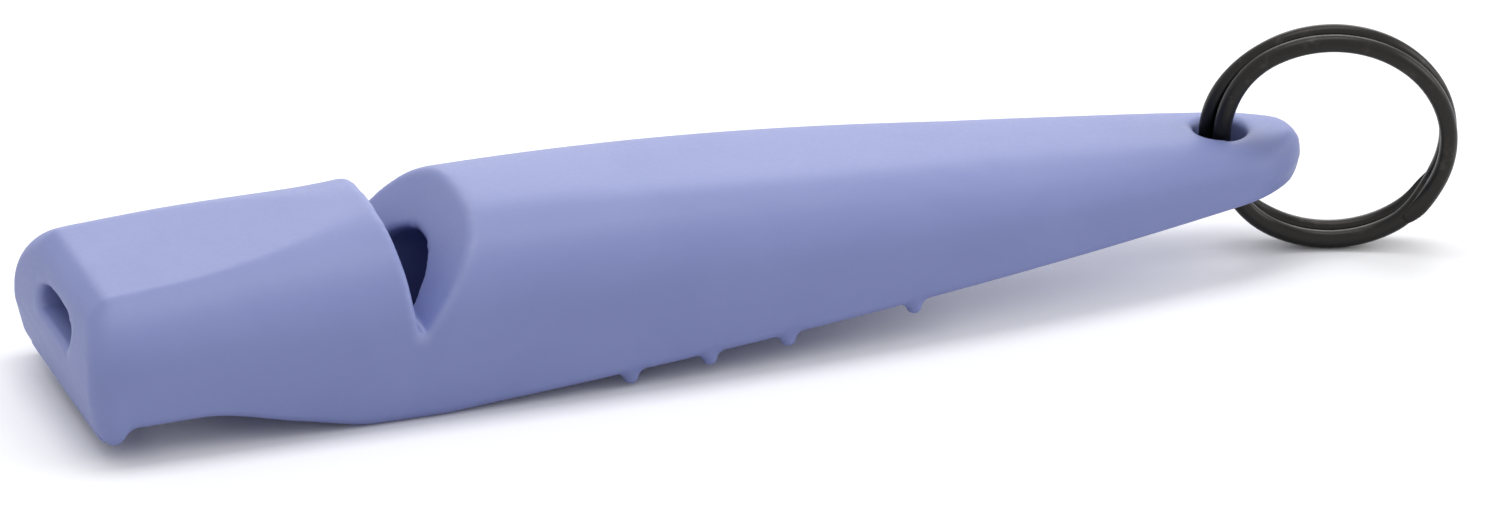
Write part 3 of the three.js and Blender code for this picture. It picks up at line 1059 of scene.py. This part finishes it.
    def blank(self) -> Blank:
        """Cuts the body from its outer skin.

        Returns:
            The cut solid, with its pips.
        """
        blank = self.outer()
        tools = [self.notch_tool(), self.chamber_tool(), self.window_tool()]
        tools += [self.pocket_tool(), self.windway_tool()]
        for tool in [*tools, *self.cover_tools(self.form.joint_gap), self.eye_tool()]:
            blank.combine(tool, Cut.AWAY)
        for x in self.form.pip_places:
            for side in (-1, 1):
                blank.combine(self.pip_tool(x, side), Cut.JOIN)
        return blank


class BaseCover(Moulding):
    """Strip that closes the underside and carries the bite lip."""

    def blank(self) -> Blank:
        """Keeps the part of the outer skin that lies in the cover's place.

        Returns:
            The cut solid.
        """
        bar, strip = self.cover_tools(0.0)
        room = Blank(bar)
        room.combine(strip, Cut.JOIN)
        tool = bmesh.new()
        tool.from_mesh(room.item.data)
        room.remove()
        blank = self.outer()
        blank.combine(tool, Cut.KEEP)
        return blank


class FippleBlock(Moulding):
    """Plug that makes the floor of the windway."""

    def blank(self) -> Blank:
        """Cuts the plug to its pocket and to the base cover.

        Returns:
            The cut solid.
        """
        form = self.form
        ends = (form.front_wall + form.joint_gap, form.notch_front - form.joint_gap)
        roof = [(x, form.windway_floor(x)) for x in reversed(ends)]
        outline = [(ends[0], 0.0), (ends[1], 0.0), *roof]
        blank = Blank(side_prism(outline, form.chamber_width - 2.0 * form.joint_gap))
        for tool in self.cover_tools(form.joint_gap):
            blank.combine(tool, Cut.AWAY)
        return blank


@dataclass
class SplitRing:
    """Spring wire wound twice round, in millimetres and degrees.

    It is wound on the Y axis, and then leaned, swung and moved to its place in the frame.
    """

    finish: BlackOxideSteel
    radius: float = 7.5
    wire: float = 1.15
    pitch: float = 1.2
    # How far round the crossover goes, and where the first turn starts
    crossover: float = 34.0
    start: float = -22.0
    lean: float = 9.0
    swing: float = -17.0
    centre: Vector = field(default_factory=lambda: Vector((63.17, -2.283, 8.08)))
    wire_sides: int = 24
    degrees_per_step: float = 2.0
    tip_width: float = 0.05
    # Where the eye is, how far it moves each turn outwards, and how far round the ring that reaches
    eye_angle: float = 180.0
    spread: tuple[float, float] = (-0.5, 0.35)
    spread_reach: float = 60.0

    def wound(self) -> BMesh:
        """Winds the wire: a turn, a short crossover and a second turn beside it, with ground-down ends.

        Returns:
            Closed mesh of the wire.
        """
        bm = bmesh.new()
        turn = 360.0 - self.crossover
        to_start = Matrix.Rotation(math.radians(-self.start), 4, "Y")
        bmesh.ops.create_circle(
            bm, segments=self.wire_sides, radius=self.wire / 2.0,
            matrix=to_start @ Matrix.Translation((self.radius, -self.pitch / 2.0, 0.0)),
        )
        first = bm.edges[:]
        inner, outer = self.spread
        last = self.wind(bm, first, self.start, turn, 0.0, inner)
        last = self.wind(bm, last, self.start + turn, self.crossover, self.pitch, 0.0)
        last = self.wind(bm, last, self.start, turn, 0.0, outer)
        outer_face = self.pitch / 2.0 + self.wire / 2.0
        self.taper(bm, last, self.start + turn, self.crossover, outer_face)
        self.taper(bm, first, self.start, -self.crossover, -outer_face)
        bmesh.ops.recalc_face_normals(bm, faces=bm.faces)
        return bm

    def crossed(self, share: float) -> float:
        """Share of the pitch that the crossing wire has moved over, at a share of the crossover."""
        return smoothstep(0.0, 1.0, share)

    def spin_on(self, bm: BMesh, edges: list[BMEdge], angle: float, across: float) -> list[BMEdge]:
        """Spins the wire's end one step further round the ring.

        Args:
            bm: Mesh of the wire.
            edges: Edges of the wire's end.
            angle: How far it goes round.
            across: How far it moves along the ring's axis.

        Returns:
            Edges of the new end.
        """
        made = bmesh.ops.spin(
            bm, geom=edges, cent=(0.0, 0.0, 0.0), axis=(0.0, -1.0, 0.0), dvec=(0.0, across, 0.0),
            angle=math.radians(angle), steps=1,
        )
        return [item for item in made["geom_last"] if isinstance(item, BMEdge)]

    def spread_at(self, angle: float) -> float:
        """Share of the spread at an angle round the ring: full where the eye holds the turns apart."""
        off_eye = abs((angle + 360.0) % 360.0 - self.eye_angle)
        return 1.0 - smoothstep(0.0, self.spread_reach, off_eye)

    def wind(
        self, bm: BMesh, edges: list[BMEdge], start: float, angle: float, across: float, spread: float,
    ) -> list[BMEdge]:
        """Winds the wire's end on round the ring.

        Args:
            bm: Mesh of the wire.
            edges: Edges of the wire's end.
            start: Angle that it starts from.
            angle: How far it goes round.
            across: How far it moves along the ring's axis on the way.
            spread: How far the eye holds it outwards from the ring's own radius.

        Returns:
            Edges of the new end.
        """
        steps = math.ceil(angle / self.degrees_per_step)
        for step in range(steps):
            shift = across * (self.crossed((step + 1) / steps) - self.crossed(step / steps))
            edges = self.spin_on(bm, edges, angle / steps, shift)
            before = start + angle * step / steps
            after = before + angle / steps
            outward = Vector((math.cos(math.radians(after)), 0.0, math.sin(math.radians(after))))
            move = outward * spread * (self.spread_at(after) - self.spread_at(before))
            bmesh.ops.translate(bm, vec=move, verts=verts_on(edges))
        return edges

    def chord(self, width: float) -> float:
        """Width across the ring of a wire that is ground down to a width along the ring's axis."""
        kept = min(width, self.wire / 2.0)
        return 2.0 * math.sqrt(kept * (self.wire - kept))

    def taper(self, bm: BMesh, edges: list[BMEdge], start: float, angle: float, outer: float) -> None:
        """Carries an end into the crossover, ground down so that it lies beside the crossing wire.

        Args:
            bm: Mesh of the wire.
            edges: Edges of the open end.
            start: Angle of the open end.
            angle: How far the crossover goes on round from here.
            outer: Where the ring's outer face is on its axis, on this end's side.
        """
        steps = math.ceil(abs(angle) / self.degrees_per_step)
        width = self.wire
        for step in range(1, steps):
            narrower = min(width, self.pitch * (1.0 - self.crossed(step / steps)))
            if narrower < self.tip_width:
                break
            edges = self.spin_on(bm, edges, angle / steps, 0.0)
            turned_back = Matrix.Rotation(math.radians(start + angle * step / steps), 4, "Y")
            space = Matrix.Translation((-self.radius, -outer, 0.0)) @ turned_back
            shares = (self.chord(narrower) / self.chord(width), narrower / width, 1.0)
            bmesh.ops.scale(bm, vec=shares, space=space, verts=verts_on(edges))
            width = narrower
        bmesh.ops.edgeloop_fill(bm, edges=edges)

    def build(self) -> bpy.types.Object:
        """Winds the ring, leans and swings it into the eye and dresses it.

        Returns:
            The ring.
        """
        bm = self.wound()
        lean = Matrix.Rotation(math.radians(self.lean), 4, "X")
        swing = Matrix.Rotation(math.radians(self.swing), 4, "Z")
        place = Matrix.Translation(self.centre * MM) @ swing @ lean @ Matrix.Scale(MM, 4)
        bmesh.ops.transform(bm, matrix=place, verts=bm.verts)
        return place_piece(bm, "split_ring", Body.RING, self.finish.material())


def direction(azimuth: float, elevation: float) -> Vector:
    """Direction from the object to a lamp or the camera.

    Args:
        azimuth: Degrees round from the object's right side.
        elevation: Degrees above the table.

    Returns:
        Direction with a length of 1.
    """
    turn = math.radians(azimuth)
    rise = math.radians(elevation)
    return Vector((math.sin(turn) * math.cos(rise), -math.cos(turn) * math.cos(rise), math.sin(rise)))


@dataclass(frozen=True)
class Softbox:
    """Lamp with an even, soft front, aimed at the object.

    Angles are in degrees and sizes in metres, and a brightness of 1 is white.
    """

    name: str
    azimuth: float
    elevation: float
    distance: float
    width: float
    height: float
    brightness: float

    def build(self, aim: Vector) -> None:
        """Hangs the lamp and aims it.

        Args:
            aim: Point that it shines at.
        """
        lamp = bpy.data.lights.new(self.name, "AREA")
        lamp.shape = "RECTANGLE"
        lamp.size = self.width
        lamp.size_y = self.height
        lamp.energy = WHITE_LAMP * self.brightness * self.width * self.height
        holder = bpy.data.objects.new(self.name, lamp)
        towards = direction(self.azimuth, self.elevation)
        holder.location = aim + towards * self.distance
        holder.rotation_euler = towards.to_track_quat("Z", "Y").to_euler()
        holder.visible_camera = False
        bpy.context.scene.collection.objects.link(holder)


@dataclass
class Studio:
    """Pale floor, soft lamps, white surroundings and the camera, in degrees and metres."""

    azimuth: float = -17.98
    elevation: float = 25.0
    distance: float = 1.5
    # Focal length in pixels of the photograph, and the sensor's width in millimetres
    focal_pixels: float = 23625.0
    sensor: float = 36.0
    aim: Vector = field(default_factory=lambda: Vector((24.956, 0.0, 3.926)) * MM)
    dome_colour: str = "#FFFFFF"
    dome_level: float = 0.58
    lamps: tuple[Softbox, ...] = (
        Softbox("overhead_strip", 180.0, 82.0, distance=0.5, width=0.5, height=0.18, brightness=2.8),
        Softbox("back_softbox", 161.0, 25.0, distance=0.6, width=0.5, height=0.26, brightness=2.0),
        Softbox("right_softbox", 80.0, 20.0, distance=0.6, width=0.3, height=0.3, brightness=2.8),
    )
    floor_size: float = 4.0
    floor_seen: str = "#F8F8FA"
    floor_glow: float = 0.15
    # Painted contact shade: the glow fades under what is closer to the floor than this, and is gone at
    # this share of open sky
    floor_painted_shade_reach: float = 0.003
    floor_painted_shade_full: float = 0.4
    floor_bounce: str = "#E4E4E8"

    def seen_ray(self, tree: bpy.types.NodeTree) -> bpy.types.NodeSocket:
        """Tells the rays that see a surface from those that only carry its light.

        Args:
            tree: Tree that gets the nodes.

        Returns:
            Socket that is 1 for camera, glossy and transmission rays, and 0 for all others.
        """
        path = add_node(tree, "ShaderNodeLightPath").outputs
        seen = path["Is Camera Ray"]
        for kind in ("Is Glossy Ray", "Is Transmission Ray"):
            seen = add_node(
                tree, "ShaderNodeMath", {"operation": "MAXIMUM"}, {0: seen, 1: path[kind]},
            ).outputs[0]
        return seen

    def build_floor(self) -> None:
        """Lays a floor that looks white, keeps the shadow, has extra shade painted under the object by
        dimming its glow there, and throws back less light than it shows.
        """
        material, tree = new_material("matte_paper_sweep")
        bounce = add_node(tree, "ShaderNodeBsdfDiffuse", {"Color": linear(self.floor_bounce)}).outputs[0]
        paper = add_node(tree, "ShaderNodeBsdfDiffuse", {"Color": linear(self.floor_seen)}).outputs[0]
        # Painted shade: ambient occlusion dims the floor's glow close under the object, so the floor
        # looks darker there than its light alone makes it
        open_sky = add_node(
            tree, "ShaderNodeAmbientOcclusion", {"samples": 8, "Distance": self.floor_painted_shade_reach},
        ).outputs["AO"]
        glow_less_painted_shade = add_node(
            tree, "ShaderNodeMapRange",
            {"From Min": self.floor_painted_shade_full, "To Max": self.floor_glow},
            {"Value": open_sky},
        ).outputs["Result"]
        glow = add_node(tree, "ShaderNodeEmission", None, {"Strength": glow_less_painted_shade}).outputs[0]
        seen = add_node(tree, "ShaderNodeAddShader", None, {0: paper, 1: glow}).outputs[0]
        shown = add_node(
            tree, "ShaderNodeMixShader", None, {0: self.seen_ray(tree), 1: bounce, 2: seen},
        ).outputs[0]
        add_node(tree, "ShaderNodeOutputMaterial", None, {"Surface": shown})
        bm = bmesh.new()
        bmesh.ops.create_grid(bm, x_segments=1, y_segments=1, size=self.floor_size / 2.0)
        floor = mesh_object(bm, "floor")
        floor.data.materials.append(material)

    def build_light(self) -> None:
        """Hangs the lamps inside an even, pale dome."""
        for lamp in self.lamps:
            lamp.build(self.aim)
        world = bpy.data.worlds.new("pale_dome")
        world.use_nodes = True
        tree = world.node_tree
        tree.nodes.clear()
        level = add_node(
            tree, "ShaderNodeMapRange",
            {"To Min": self.dome_level, "To Max": 1.0},
            {"Value": self.seen_ray(tree)},
        ).outputs["Result"]
        dome = add_node(
            tree, "ShaderNodeBackground", {"Color": linear(self.dome_colour)}, {"Strength": level},
        ).outputs[0]
        add_node(tree, "ShaderNodeOutputWorld", None, {"Surface": dome})
        bpy.context.scene.world = world

    def build_camera(self) -> None:
        """Sets the camera at the photograph's angle."""
        back = direction(self.azimuth, self.elevation)
        data = bpy.data.cameras.new("camera")
        data.sensor_width = self.sensor
        data.lens = self.focal_pixels * self.sensor / PHOTO_WIDTH
        camera = bpy.data.objects.new("camera", data)
        camera.location = self.aim + back * self.distance
        camera.rotation_euler = back.to_track_quat("Z", "Y").to_euler()
        bpy.context.scene.collection.objects.link(camera)
        bpy.context.scene.camera = camera

    def build(self) -> None:
        """Sets up the whole studio."""
        self.build_camera()
        self.build_floor()
        self.build_light()
        bpy.context.scene.view_settings.view_transform = "Standard"


def main() -> None:
    """Builds the studio and the pieces."""
    logging.basicConfig(level=logging.INFO, format="%(name)s: %(message)s")
    Studio().build()
    form = WhistleForm()
    WhistleBody(form, "body", MouldedAbs("lilac_moulded_abs")).build()
    BaseCover(form, "base_cover", MouldedAbs("lilac_moulded_abs_cover")).build()
    FippleBlock(form, "fipple_block", MouldedAbs("lilac_moulded_abs_block")).build()
    SplitRing(BlackOxideSteel()).build()
    log.info("sizes written")


if __name__ == "__main__":
    main()
